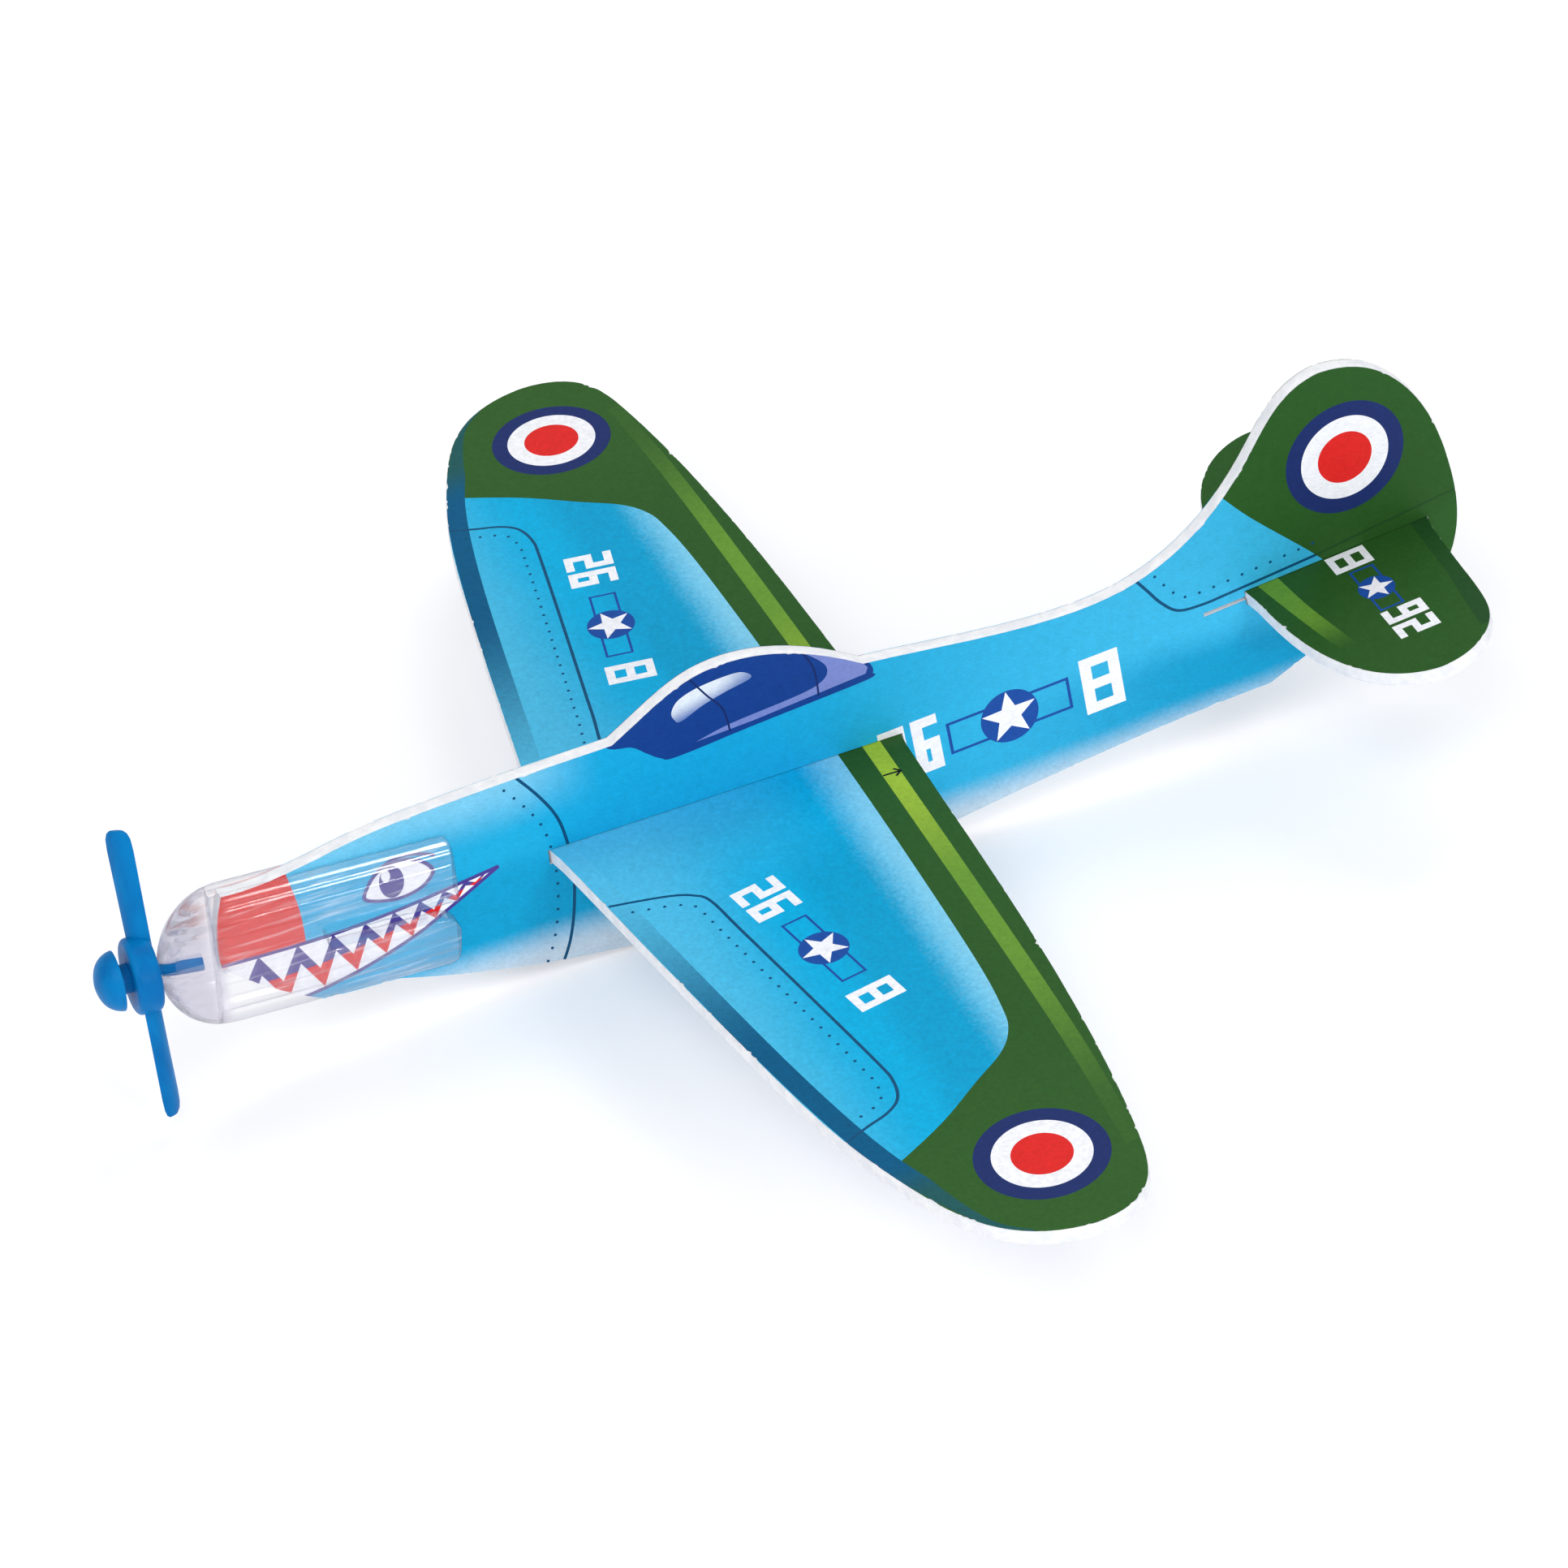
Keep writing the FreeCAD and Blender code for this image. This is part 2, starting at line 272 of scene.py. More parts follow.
class Solid:
    """A closed mesh gathered face by face in a sheet's own millimetres."""

    def __init__(self, name, place, materials):
        self.name = name
        self.place = place
        self.materials = materials
        self.mesh = bmesh.new()

    def face(self, points, slot=0):
        corners = [self.mesh.verts.new(p) for p in set_in(self.place, points)]
        self.mesh.faces.new(corners).material_index = slot

    def wall(self, lower, upper, slot=0):
        """A strip between two loops of the same length."""
        n = len(lower)
        for i in range(n):
            j = (i + 1) % n
            self.face([lower[i], lower[j], upper[j], upper[i]], slot)

    def finished(self, smooth_under=35.0, weld=2e-6):
        """The solid as an object, its corners merged and its faces outwards."""
        bmesh.ops.remove_doubles(self.mesh, verts=self.mesh.verts, dist=weld)
        bmesh.ops.dissolve_degenerate(self.mesh, dist=1e-7, edges=self.mesh.edges)
        bmesh.ops.recalc_face_normals(self.mesh, faces=self.mesh.faces)
        data = bpy.data.meshes.new(self.name)
        self.mesh.to_mesh(data)
        self.mesh.free()
        return placed(self.name, data, self.materials, smooth_under)


def placed(name, data, materials, smooth_under=35.0):
    """A mesh as an object of the scene, smooth where it turns by less than some degrees."""
    piece = bpy.data.objects.new(name, data)
    bpy.context.scene.collection.objects.link(piece)
    for material in materials:
        data.materials.append(material)
    for face in data.polygons:
        face.use_smooth = True
    data.set_sharp_from_angle(angle=math.radians(smooth_under))
    return piece


def at_height(loop, w):
    return [(u, v, w) for u, v in loop]


# ------------------------------------------------------------------ finishes

def srgb(red, green, blue):
    """A colour as it is read off a screen, 0 to 255, for a shader."""
    def linear(value):
        value /= 255
        return value / 12.92 if value <= 0.04045 else ((value + 0.055) / 1.055) ** 2.4
    return (linear(red), linear(green), linear(blue))


class Level:
    """A number that varies over a surface, used in plain arithmetic."""

    def __init__(self, finish, socket):
        self.finish = finish
        self.socket = socket

    def maths(self, operation, first, second=0.0):
        return self.finish.node("ShaderNodeMath", {"operation": operation}, {0: first, 1: second})

    def __add__(self, other):
        return self.maths("ADD", self, other)

    def __sub__(self, other):
        return self.maths("SUBTRACT", self, other)

    def __rsub__(self, other):
        return self.maths("SUBTRACT", other, self)

    def __mul__(self, other):
        return self.maths("MULTIPLY", self, other)

    def __abs__(self):
        return self.maths("ABSOLUTE", self)

    __radd__ = __add__
    __rmul__ = __mul__


class Finish:
    """A material built from expressions."""

    def __init__(self, name):
        self.material = bpy.data.materials.new(name)
        self.material.use_nodes = True
        self.tree = self.material.node_tree
        self.shader = self.tree.nodes["Principled BSDF"]
        self.spot = self.node("ShaderNodeTexCoord", output="Object")

    def node(self, kind, settings=None, sockets=None, output=0):
        made = self.tree.nodes.new(kind)
        for key, value in (settings or {}).items():
            setattr(made, key, value)
        for key, value in (sockets or {}).items():
            if isinstance(value, Level):
                self.tree.links.new(value.socket, made.inputs[key])
            else:
                made.inputs[key].default_value = value
        return Level(self, made.outputs[output])

    def axes(self):
        """X, Y and Z in millimetres."""
        split = self.node("ShaderNodeSeparateXYZ", sockets={0: self.spot})
        links = split.socket.node.outputs
        return [Level(self, links[i]) * (1 / MM) for i in range(3)]

    def rise(self, level, low, high):
        """0 below low, 1 above high, smooth between."""
        return self.node("ShaderNodeMapRange", {"interpolation_type": "SMOOTHSTEP"},
                         {"Value": level, "From Min": low, "From Max": high})

    def band(self, level, low, high, soft):
        return self.rise(level, low - soft, low) * (1 - self.rise(level, high, high + soft))

    def grain(self, size_mm, detail=2.0, stretch=(1, 1, 1), turn=(0, 0, 0)):
        """Noise about 0.5 with spots of about the given size."""
        laid = self.node("ShaderNodeMapping", {}, {"Vector": self.spot, "Rotation": turn, "Scale": stretch})
        return self.node("ShaderNodeTexNoise", {},
                         {"Vector": laid, "Scale": 1 / (size_mm * MM), "Detail": detail, "Roughness": 0.55})

    def blend(self, mask, first, second):
        colours = [c if isinstance(c, Level) else (*c, 1.0) for c in (first, second)]
        return self.node("ShaderNodeMix", {"data_type": "RGBA"},
                         {0: mask, 6: colours[0], 7: colours[1]}, output=2)

    def tinted(self, colour, amount, level):
        """The colour made lighter or darker where the level leaves 0.5."""
        lift = (level - 0.5) * amount + 1.0
        return self.node("ShaderNodeVectorMath", {"operation": "SCALE"},
                         {0: colour, "Scale": lift})

    def bump(self, height, depth_mm, strength=1.0):
        return self.node("ShaderNodeBump", {}, {"Height": height, "Distance": depth_mm * MM,
                                                "Strength": strength})

    def mix(self, share, first, second):
        return self.node("ShaderNodeMixShader", {}, {0: share, 1: first, 2: second})

    def show_through(self, thin, sheen, rim):
        """A clear sheet where thin is 1, greyer by rim and glossy by sheen; it never stops a lamp's light.
        The grey by rim is painted shade: a grey see-through tint where the sheet is seen at a slant.
        """
        lamp = self.node("ShaderNodeLightPath", output="Is Shadow Ray")
        air = self.node("ShaderNodeBsdfTransparent")
        gloss = self.node("ShaderNodeBsdfAnisotropic", {}, {"Color": (1, 1, 1, 1), "Roughness": 0.12})
        solid = Level(self, self.shader.outputs["BSDF"])
        # painted shade: a grey see-through tint for the cap's slanting edges
        painted_edge_shade = self.node("ShaderNodeBsdfTransparent", {}, {"Color": (0.42, 0.42, 0.5, 1)})
        sheet = self.mix(sheen, self.mix(rim, air, painted_edge_shade), gloss)
        clear = self.mix(lamp, self.mix(thin, solid, sheet), air)
        self.tree.links.new(clear.socket, self.tree.nodes["Material Output"].inputs["Surface"])

    def set(self, **values):
        """Sets the shader's sockets: a level is linked, a plain value stays on the socket."""
        for word, value in values.items():
            socket = self.shader.inputs[word.replace("_", " ")]
            if isinstance(value, Level):
                self.tree.links.new(value.socket, socket)
            elif isinstance(value, tuple) and len(value) == 3 and len(socket.default_value) == 4:
                socket.default_value = (*value, 1.0)
            else:
                socket.default_value = value
        return self.material


def film(name, colour_of):
    """Printed film laid on foam: the ink's colour over a fine slanting grain, satin, a little uneven."""
    finish = Finish(name)
    streaks = finish.grain(0.55, 3.0, stretch=(1, 1, 3.2), turn=(0.0, 0.55, 0.5))
    cells = finish.grain(1.3, 2.0)
    colour = colour_of(finish) if callable(colour_of) else colour_of
    inked = finish.tinted(colour, 0.6, streaks * 0.7 + cells * 0.3)
    return finish.set(
        Base_Color=inked,
        Roughness=0.4 + (cells - 0.5) * 0.2,
        Normal=finish.bump(streaks * 0.55 + cells * 0.45, 0.05, 0.6),
        Specular_IOR_Level=0.08,
    )


def sky_on_fuselage(finish):
    """Sky blue, paler along the back of the nose, deeper low on the tail, fading to the pale belly."""
    ink = bpy.context.scene.glider_print
    x, _, z = finish.axes()
    cloud = (finish.grain(9.0, 3.0) - 0.5) * 2.4
    speck = (finish.grain(0.5, 1.0) - 0.5) * 2.0
    colour = finish.blend(finish.rise(x, 0, 60) * 0.35 + 0.12, ink.sky, ink.pale)
    high = finish.rise(z + cloud, 22.5, 30) * finish.band(x, -52, -26, 12)
    colour = finish.blend(high * 0.75, colour, ink.haze)
    deep = finish.band(z + cloud, 8, 14, 6) * finish.rise(x, 26, 66)
    fore = finish.band(z + cloud, 9, 16, 5) * finish.band(x, -34, -20, 9)
    colour = finish.blend(deep * 0.9, colour, ink.deep)
    colour = finish.blend(fore * 0.7, colour, ink.deep)
    line = 8.6 + 0.5 * speck + cloud * 0.3 + finish.rise(x, 20, 80) * 2.2
    belly = finish.rise(line - z, 0.0, 6.0)
    return finish.blend(belly, colour, ink.belly)


def sky_on_wing(finish):
    """Sky blue with pale sprays near the root and along the back, and a deeper bar down the middle."""
    ink = bpy.context.scene.glider_print
    x, y, _ = finish.axes()
    out = abs(y)
    cloud = (finish.grain(9.0, 3.0) - 0.5) * 2.4
    speck = (finish.grain(0.5, 1.0) - 0.5) * 2.0
    colour = finish.blend(finish.rise(cloud - x, 2, 16) * 0.8, ink.sky, ink.pale)
    deep = finish.band(x + cloud, 4.0, 9.0, 5.0)
    colour = finish.blend(deep * finish.rise(out, 8, 24) * 0.65, colour, ink.deep)
    spray = finish.rise(x + speck * 1.2 + cloud * 0.3, 8.5, 14.5)
    colour = finish.blend(spray * 0.85, colour, ink.haze)
    root = 1 - finish.rise(out + cloud, 2, 26)
    return finish.blend(root * 0.45 * (1 - finish.rise(x, -4, 12)), colour, ink.pale)


def edge_band_on_wing(finish):
    """A dark band behind the leading edge, thinning out towards the root."""
    ink = bpy.context.scene.glider_print
    _, y, _ = finish.axes()
    out = abs(y)
    colour = finish.blend(finish.rise(out, 6, 50), ink.pale, ink.band)
    return finish.blend(finish.rise(out, 74, 82) * 0.6, colour, ink.green)


def green_on_wing(finish):
    """Dark green, a touch lighter and yellower towards the tips."""
    ink = bpy.context.scene.glider_print
    _, y, _ = finish.axes()
    cloud = finish.grain(7.0, 3.0)
    return finish.blend(finish.rise(abs(y), 50, 84) * 0.45 * (cloud + 0.5), ink.green, ink.moss)


def lime_on_wing(finish):
    """A lime stripe that sinks into the green towards the tip."""
    ink = bpy.context.scene.glider_print
    _, y, _ = finish.axes()
    out = abs(y)
    colour = finish.blend(finish.rise(out, 4, 34), ink.lime, ink.leaf)
    return finish.blend(finish.rise(out, 42, 80), colour, ink.moss)


def lime_on_tail(finish):
    """The tailplane's stripe, gone before the tip."""
    ink = bpy.context.scene.glider_print
    _, y, _ = finish.axes()
    return finish.blend(finish.rise(abs(y), 9, 19), ink.leaf, ink.green)


def glass_on_canopy(finish):
    """The painted canopy's highlight: pale at the top, running into the blue."""
    ink = bpy.context.scene.glider_print
    x, _, z = finish.axes()
    lit = finish.rise(z - x * 0.25, 31.2, 34.4) * (1 - finish.rise(x, 0.5, 5.5) * 0.55)
    return finish.blend(lit, ink.canopy_mist, ink.white)


def foam(name):
    """White foam: fine closed cells, a little rough where it was cut."""
    finish = Finish(name)
    ink = bpy.context.scene.glider_foam
    cells = finish.node("ShaderNodeTexVoronoi", {"feature": "F1"},
                        {"Vector": finish.spot, "Scale": 1 / (0.32 * MM)})
    lumps = finish.grain(1.6, 3.0)
    shade = finish.blend(finish.rise(lumps, 0.3, 0.75), ink.shade, ink.white)
    return finish.set(
        Base_Color=shade,
        Roughness=0.72 + (lumps - 0.5) * 0.2,
        Normal=finish.bump(cells * 0.5 + lumps, 0.09, 0.8),
        Subsurface_Weight=0.25,
        Subsurface_Radius=(0.6, 0.6, 0.7),
        Subsurface_Scale=0.001,
    )


def clear_plastic(name):
    """Clear moulded plastic with faint flow marks: thick at the dome, thin along the cheeks."""
    finish = Finish(name)
    flow = finish.grain(2.4, 2.0, stretch=(0.35, 1, 1))
    scuffs = finish.grain(0.7, 2.0, stretch=(0.06, 1, 1))
    cap = bpy.context.scene.glider_nose
    along = finish.axes()[0]
    slant = finish.node("ShaderNodeLayerWeight", {}, {"Blend": 0.5}, output=1)
    edge = slant * slant * slant
    sheen = edge * 0.5 + 0.06 + finish.rise(scuffs, 0.54, 0.72) * 0.22
    thin = finish.rise(along, -66.5, -63.5) * 0.78 + 0.17
    # painted shade: the cap turns greyer where it is seen at a slant
    rim = finish.rise(slant, 0.28, 0.9) * 0.85
    finish.show_through(thin, sheen, rim)
    return finish.set(
        Base_Color=tuple(cap.clear),
        Roughness=cap.haze + finish.rise(scuffs, 0.62, 0.8) * 0.12,
        Normal=finish.bump(flow, 0.04, 0.5),
        Transmission_Weight=1.0,
        IOR=1.46,
    )


def blue_plastic(name):
    """Moulded blue plastic, satin, with flow marks and a scuffed grain."""
    finish = Finish(name)
    tone = bpy.context.scene.glider_nose
    flow = finish.grain(3.5, 3.0, stretch=(1, 1, 0.4))
    fine = finish.grain(0.25, 2.0)
    colour = finish.blend(finish.rise(flow, 0.35, 0.7), tone.blue, tone.blue_deep)
    return finish.set(
        Base_Color=colour,
        Roughness=0.4 + (fine - 0.5) * 0.22,
        Normal=finish.bump(fine * 0.6 + flow, 0.03, 0.45),
        Specular_IOR_Level=0.08,
    )


# ------------------------------------------------------------------ artwork

def circle(centre, radius, steps=72):
    turn = 2 * math.pi / steps
    return [(centre[0] + radius * math.cos(i * turn), centre[1] + radius * math.sin(i * turn))
            for i in range(steps)]


def target(centre, radius):
    """Three plain rings."""
    return [("navy", circle(centre, radius, 96)), ("white", circle(centre, 0.74 * radius, 96)),
            ("red", circle(centre, 0.457 * radius, 72))]


def on_line(centre, right, up):
    """A drawing's own (across, upward) as a point of the sheet."""
    return lambda a, b: (centre[0] + right[0] * a + up[0] * b, centre[1] + right[1] * a + up[1] * b)


def directions(degrees, flip=1):
    """Rightward and upward directions of a drawing turned on its sheet, mirrored if flip is -1."""
    c = math.cos(math.radians(degrees))
    s = math.sin(math.radians(degrees))
    return (flip * c, flip * s), (-s, c)


def stroke(ink, path, width):
    """A line of ink along a path, mitred at its corners."""
    closed = path[0] == path[-1]
    last = len(path) - 1
    left, right = [], []
    for i, (x, y) in enumerate(path):
        before = path[i - 1] if i else (path[-2] if closed else None)
        after = path[i + 1] if i < last else (path[1] if closed else None)
        sides = []
        for a, b in ((before, (x, y)), ((x, y), after)):
            if a and b:
                length = distance(a, b)
                sides.append((-(b[1] - a[1]) / length, (b[0] - a[0]) / length))
        nx = sum(n[0] for n in sides)
        ny = sum(n[1] for n in sides)
        reach = width / max(nx * nx + ny * ny, 0.2) * len(sides) / 2
        left.append((x + nx * reach, y + ny * reach))
        right.append((x - nx * reach, y - ny * reach))
    return [(ink, left + right[::-1])]


def lengthened(path, reach):
    """The path with both ends run on."""
    def on(a, b):
        length = distance(a, b)
        return (b[0] + (b[0] - a[0]) / length * reach, b[1] + (b[1] - a[1]) / length * reach)
    return [on(path[1], path[0])] + path[1:-1] + [on(path[-2], path[-1])]


def star_and_bars(centre, radius, reach, half_height, line, degrees):
    """A white star on a blue disc, with an outlined bar on each side."""
    right, up = directions(degrees)
    at = on_line(centre, right, up)
    box = [at(-reach, -half_height), at(reach, -half_height), at(reach, half_height), at(-reach, half_height)]
    shapes = stroke("cobalt", box + box[:2], line)
    shapes.append(("cobalt", circle(centre, radius, 48)))
    spikes = []
    for i in range(10):
        length = radius * (0.97 if i % 2 == 0 else 0.40)
        angle = math.radians(90 + 36 * i)
        spikes.append(at(length * math.cos(angle), length * math.sin(angle)))
    return shapes + [("white", spikes)]


# the strokes of each digit, on a grid one wide and two high
DIGITS = {
    "2": [[(0, 2), (1, 2), (1, 1), (0, 1), (0, 0), (1, 0)]],
    "6": [[(1, 2), (0, 2), (0, 0), (1, 0), (1, 1), (0, 1)]],
    "8": [[(0, 0), (0, 2), (1, 2), (1, 0), (0, 0)], [(0, 1), (1, 1)]],
}


def figures(text, centre, height, right, up, wide=0.42):
    """Plain block numerals, white."""
    line = 0.175 * height
    tall = (height - line) / 2
    broad = wide * height - line
    pitch = wide * height + 0.6 * line
    at = on_line(centre, right, up)
    shapes = []
    for i, digit in enumerate(text):
        left = (i - (len(text) - 1) / 2) * pitch - broad / 2
        for path in DIGITS[digit]:
            reach = line / 2 if path[0] != path[-1] and len(path) > 2 else 0.0
            spots = lengthened([(left + x * broad, (y - 1) * tall) for x, y in path], reach)
            shapes += stroke("white", [at(a, b) for a, b in spots], line)
    return shapes


# -- fuselage, drawn on (X, Z)

NOSE_LINE = curve([(-25.4, 30.6), (-23.0, 26.9), (-21.2, 23.2), (-20.4, 19.3), (-20.2, 14.1), (-20.9, 8.7),
                   (-22.0, 4.4), (-23.4, 1.2)])
TAIL_LINE = curve([(55.3, 29.4), (56.6, 27.5), (58.3, 25.0), (60.4, 23.1), (63.5, 22.8), (67.5, 23.2),
                   (79.0, 24.6)])
FIN_LINE = curve([(79.0, 24.6), (87.5, 26.0), (98.5, 27.7)])
FIN_EDGE = curve([(66.2, 39.0), (70.8, 33.3), (79.0, 24.7), (83.7, 18.8), (89.5, 11.5)])
MOUTH_TOP = curve([(-66.0, 17.4), (-58.0, 16.9), (-50.0, 16.7), (-42.0, 17.1), (-34.8, 17.9), (-29.2, 18.6)])
MOUTH_LOW = curve([(-29.2, 18.6), (-33.0, 16.5), (-36.6, 14.6), (-40.4, 12.7), (-45.6, 10.9), (-50.0, 9.8),
                   (-55.5, 9.0), (-60.0, 9.0)])


def height_on(path, u):
    """A path's height where it passes over u."""
    for a, b in zip(path, path[1:]):
        if min(a[0], b[0]) <= u <= max(a[0], b[0]) and a[0] != b[0]:
            return a[1] + (b[1] - a[1]) * (u - a[0]) / (b[0] - a[0])
    return path[-1][1]


def mouth():
    """A painted grin: dark above, red below, with a row of pointed teeth from each lip."""
    def between(u, share):
        return (u, height_on(MOUTH_TOP, u) * (1 - share) + height_on(MOUTH_LOW, u) * share)

    seam = [between(u, 0.5) for u in (-33.0, -40.0, -46.0, -52.0, -58.0, -66.0)]
    lower = [(-29.2, 18.6)] + seam + [(-66.0, 9.0), (-60.0, 9.0)] + MOUTH_LOW[::-1]
    shapes = [("violet", MOUTH_TOP + MOUTH_LOW + [(-66.0, 10.0)]), ("red", lower)]
    tooth, shrink = 5.4, 0.91
    left = -65.4
    corner = -31.0
    while left + tooth < corner:
        right = left + tooth
        middle = left + tooth / 2
        upper_tooth = [between(left, 0.0), between(middle, 0.58), between(right, 0.0)]
        lower_tooth = [between(middle, 1.0), between(right, 0.36), between(right + tooth / 2, 1.0)]
        shapes += [("white", upper_tooth), ("white", lower_tooth)]
        left = right
        tooth *= shrink
    return shapes + stroke("violet", MOUTH_TOP, 0.5) + stroke("violet", MOUTH_LOW, 0.5)


def eye():
    """A painted eye: white, a violet iris with a glint, lids and a brow line."""
    white = curve([(-46.0, 20.2), (-45.1, 22.2), (-43.9, 23.4), (-42.2, 24.1), (-40.0, 23.9), (-38.2, 22.8),
                   (-37.2, 21.0), (-38.8, 19.3), (-41.4, 18.7), (-43.9, 19.1)], 6, closed=True)
    lids = stroke("violet", white + white[:1], 0.5)
    lash = stroke("violet", curve([(-43.9, 23.6), (-41.6, 24.6), (-39.2, 24.4), (-36.6, 23.2)]), 0.5)
    iris = [(-42.4 + 0.66 * (u + 42.4), v) for u, v in circle((-42.4, 21.4), 2.35, 40)]
    glint = [(-43.0 + 0.6 * (u + 43.0), v) for u, v in circle((-43.0, 22.5), 0.95, 20)]
    return [("white", white), ("violet", iris), ("white", glint)] + lids + lash


def canopy():
    """Painted glass: blue, a violet rear pane, a bright pane in front and two thin frames."""
    sill = curve([(-14.5, 31.5), (-13.0, 30.2), (-10.5, 29.5), (-8.7, 27.9), (-7.1, 26.6), (-5.1, 26.1),
                  (5.0, 27.0), (19.0, 28.1), (20.2, 28.6), (20.3, 29.6), (19.4, 31.0)], 6)
    glass = sill + [(22.0, 34.0), (10.0, 40.0), (-10.0, 40.0)]
    rear = curve([(-2.6, 27.1), (2.0, 28.1), (11.1, 29.0), (14.1, 29.9), (14.9, 31.3), (14.1, 32.9),
                  (11.3, 35.6)], 6) + [(22.0, 34.0), (19.6, 28.9), (5.0, 27.5)]
    glint = curve([(-5.1, 32.4), (-4.1, 33.8), (-1.7, 34.7), (2.0, 35.1), (4.3, 34.9), (5.3, 33.7),
                   (2.0, 32.9), (-1.1, 32.0), (-4.1, 30.7), (-4.9, 31.3)], 6, closed=True)
    front_frame = curve([(-2.6, 36.8), (-0.5, 33.3), (1.3, 30.5), (1.8, 26.8)])
    rear_frame = curve([(11.7, 35.6), (13.2, 32.1), (13.4, 27.9)])
    return [("glass", glass), ("pane", rear), ("glint", glint)] + stroke("navy", front_frame, 0.25) \
        + stroke("navy", rear_frame, 0.25) + stroke("glass", sill, 0.5)


def fuselage_art(flip):
    """The fuselage's print. flip is 1 on the port side and -1 to starboard, where numerals run forwards."""
    green = FIN_EDGE + [(110.0, 5.0), (110.0, 60.0), (60.0, 60.0)]
    nose_band = curve([(-54.0, 16.0), (-54.0, 22.0), (-55.2, 30.0)]) + [(-70.0, 32.0), (-70.0, 16.0)]
    right, up = directions(3.5 * flip, flip)
    first, second = ("26", "8") if flip > 0 else ("8", "26")
    shapes = [("sky", None), ("green", green), ("red", nose_band)]
    shapes += target((83.9, 37.5), 7.9) + mouth() + eye() + canopy()
    shapes += star_and_bars((37.2, 15.8), 3.83, 8.0, 2.2, 0.4, 3.5)
    shapes += figures(first, (24.1 if flip > 0 else 22.5, 15.5), 8.2, right, up)
    shapes += figures(second, (49.6 if flip > 0 else 51.0, 16.4), 8.4, right, up, 0.62 if flip > 0 else 0.42)
    return shapes + stroke("line", NOSE_LINE, 0.4) + stroke("line", TAIL_LINE, 0.4) \
        + stroke("shade", FIN_LINE, 0.35)


# -- wing, drawn on (X, Y) for the starboard half and mirrored

WING_PANEL = [(-9.3, 19.8), (-8.1, 26.9), (-5.6, 42.0), (-3.2, 57.0), (-2.8, 61.0), (-3.5, 64.2),
              (-5.4, 66.0), (-8.4, 67.2), (-12.4, 68.9)]
WING_PANELS = {
    -1: curve([(-20.4, 14.8), (-16.8, 15.6), (-13.1, 16.6), (-10.8, 17.8)] + WING_PANEL),
    1: curve([(-20.9, 10.0), (-17.2, 10.4), (-13.6, 11.4), (-10.9, 13.4)] + WING_PANEL),
}
WING_GREEN = curve([(-12.0, 76.6), (-7.6, 74.7), (-0.6, 70.6), (5.4, 66.0), (9.9, 62.6), (12.2, 59.4),
                    (13.2, 55.4), (14.0, 45.0), (14.5, 20.0), (14.6, 0.0)])
WING_STRIPE = curve([(17.8, 0.0), (17.5, 40.0), (17.0, 66.0), (16.0, 84.0)]) \
    + curve([(17.9, 84.0), (19.1, 66.0), (19.7, 40.0), (20.1, 0.0)])
LEADING_EDGE = curve([(-22.7, 0.0), (-19.2, 23.7), (-14.9, 51.4), (-11.4, 69.0), (-8.0, 79.5), (-3.4, 88.6),
                      (1.0, 92.6)])


def on_side(points, side):
    return [(u, v * side) for u, v in points]


def reading(side, degrees):
    """Right and up for numerals read from ahead of the wing, sloping with each half."""
    a = math.radians(degrees * side)
    return (-math.sin(a), -math.cos(a)), (math.cos(a), -math.sin(a))


def wing_art():
    """The wing's print, on (X, Y): each half in turn, with its markings at their own distances."""
    shapes = [("sky", None)]
    for side in (1, -1):
        inner_edge = [(u + 2.6 * min(1.0, (95.0 - v) / 16), v) for u, v in LEADING_EDGE]
        shapes.append(("green", on_side(WING_GREEN + [(40.0, 0.0), (40.0, 110.0), (-30.0, 110.0)], side)))
        shapes.append(("band", on_side(LEADING_EDGE + inner_edge[::-1], side)))
        shapes.append(("lime", on_side(WING_STRIPE, side)))
        shapes += target((7.1, 81.1 * side), 7.8)
        shapes += stroke("line", on_side(WING_PANELS[side], side), 0.4)
        right, up = reading(side, 10.5)
        star, pair, single = ((-0.3, 38.6), (1.6, 51.1), (-1.6, 28.0)) if side > 0 \
            else ((-0.8, 34.8), (-3.4, 22.8), (1.4, 45.6))
        shapes += star_and_bars((star[0], star[1] * side), 3.04, 6.6, 1.6, 0.32, 90 - 10.5 * side)
        shapes += figures("26", (pair[0], pair[1] * side), 6.1, right, up, 0.5)
        shapes += figures("8", (single[0], single[1] * side), 6.1, right, up, 0.62)
    return shapes + insert_arrow()


def insert_arrow():
    """The small arrow beside the port root that points aft."""
    head = stroke("ink", [(19.2, -8.4), (20.1, -7.7), (19.4, -6.9)], 0.3)
    return stroke("ink", [(17.8, -7.6), (20.0, -7.7)], 0.3) + head


# -- tailplane, drawn on its own (u, v), u aft from its middle

TAIL_STRIPE = curve([(-10.9, 0.0), (-9.6, 8.0), (-8.2, 15.5), (-7.0, 20.0)]) \
    + curve([(-5.2, 20.0), (-6.0, 15.5), (-7.3, 8.0), (-8.1, 0.0)])
TAIL_SHADE = [(10.2, 0.0), (9.6, 12.0), (8.4, 24.0), (14.0, 24.0), (14.0, 0.0)]


def tail_art():
    """The tailplane's print, the same on both halves."""
    shapes = [("green", None)]
    right, up = (0, 1), (-1, 0)
    for side in (1, -1):
        shapes.append(("lime", on_side(TAIL_STRIPE, side)))
        shapes.append(("shade", on_side(TAIL_SHADE, side)))
        shapes += star_and_bars((1.2, 9.9 * side), 2.3, 4.4, 1.5, 0.3, -90)
        shapes += figures("26", (2.0, 17.8 * side), 5.4, right, up, 0.5)
        shapes += figures("8", (0.8, 3.0 * side), 5.2, right, up, 0.7)
    return shapes


# ------------------------------------------------------------------ printed sheets and foam

def in_slot(place, v):
    """0 for the part of a flying surface that sits in the fuselage, rising to 1 outside it."""
    return 1.0 if place is FUSELAGE_PLACE else min(1.0, max(0.0, (abs(v) - 1.2) / 2))


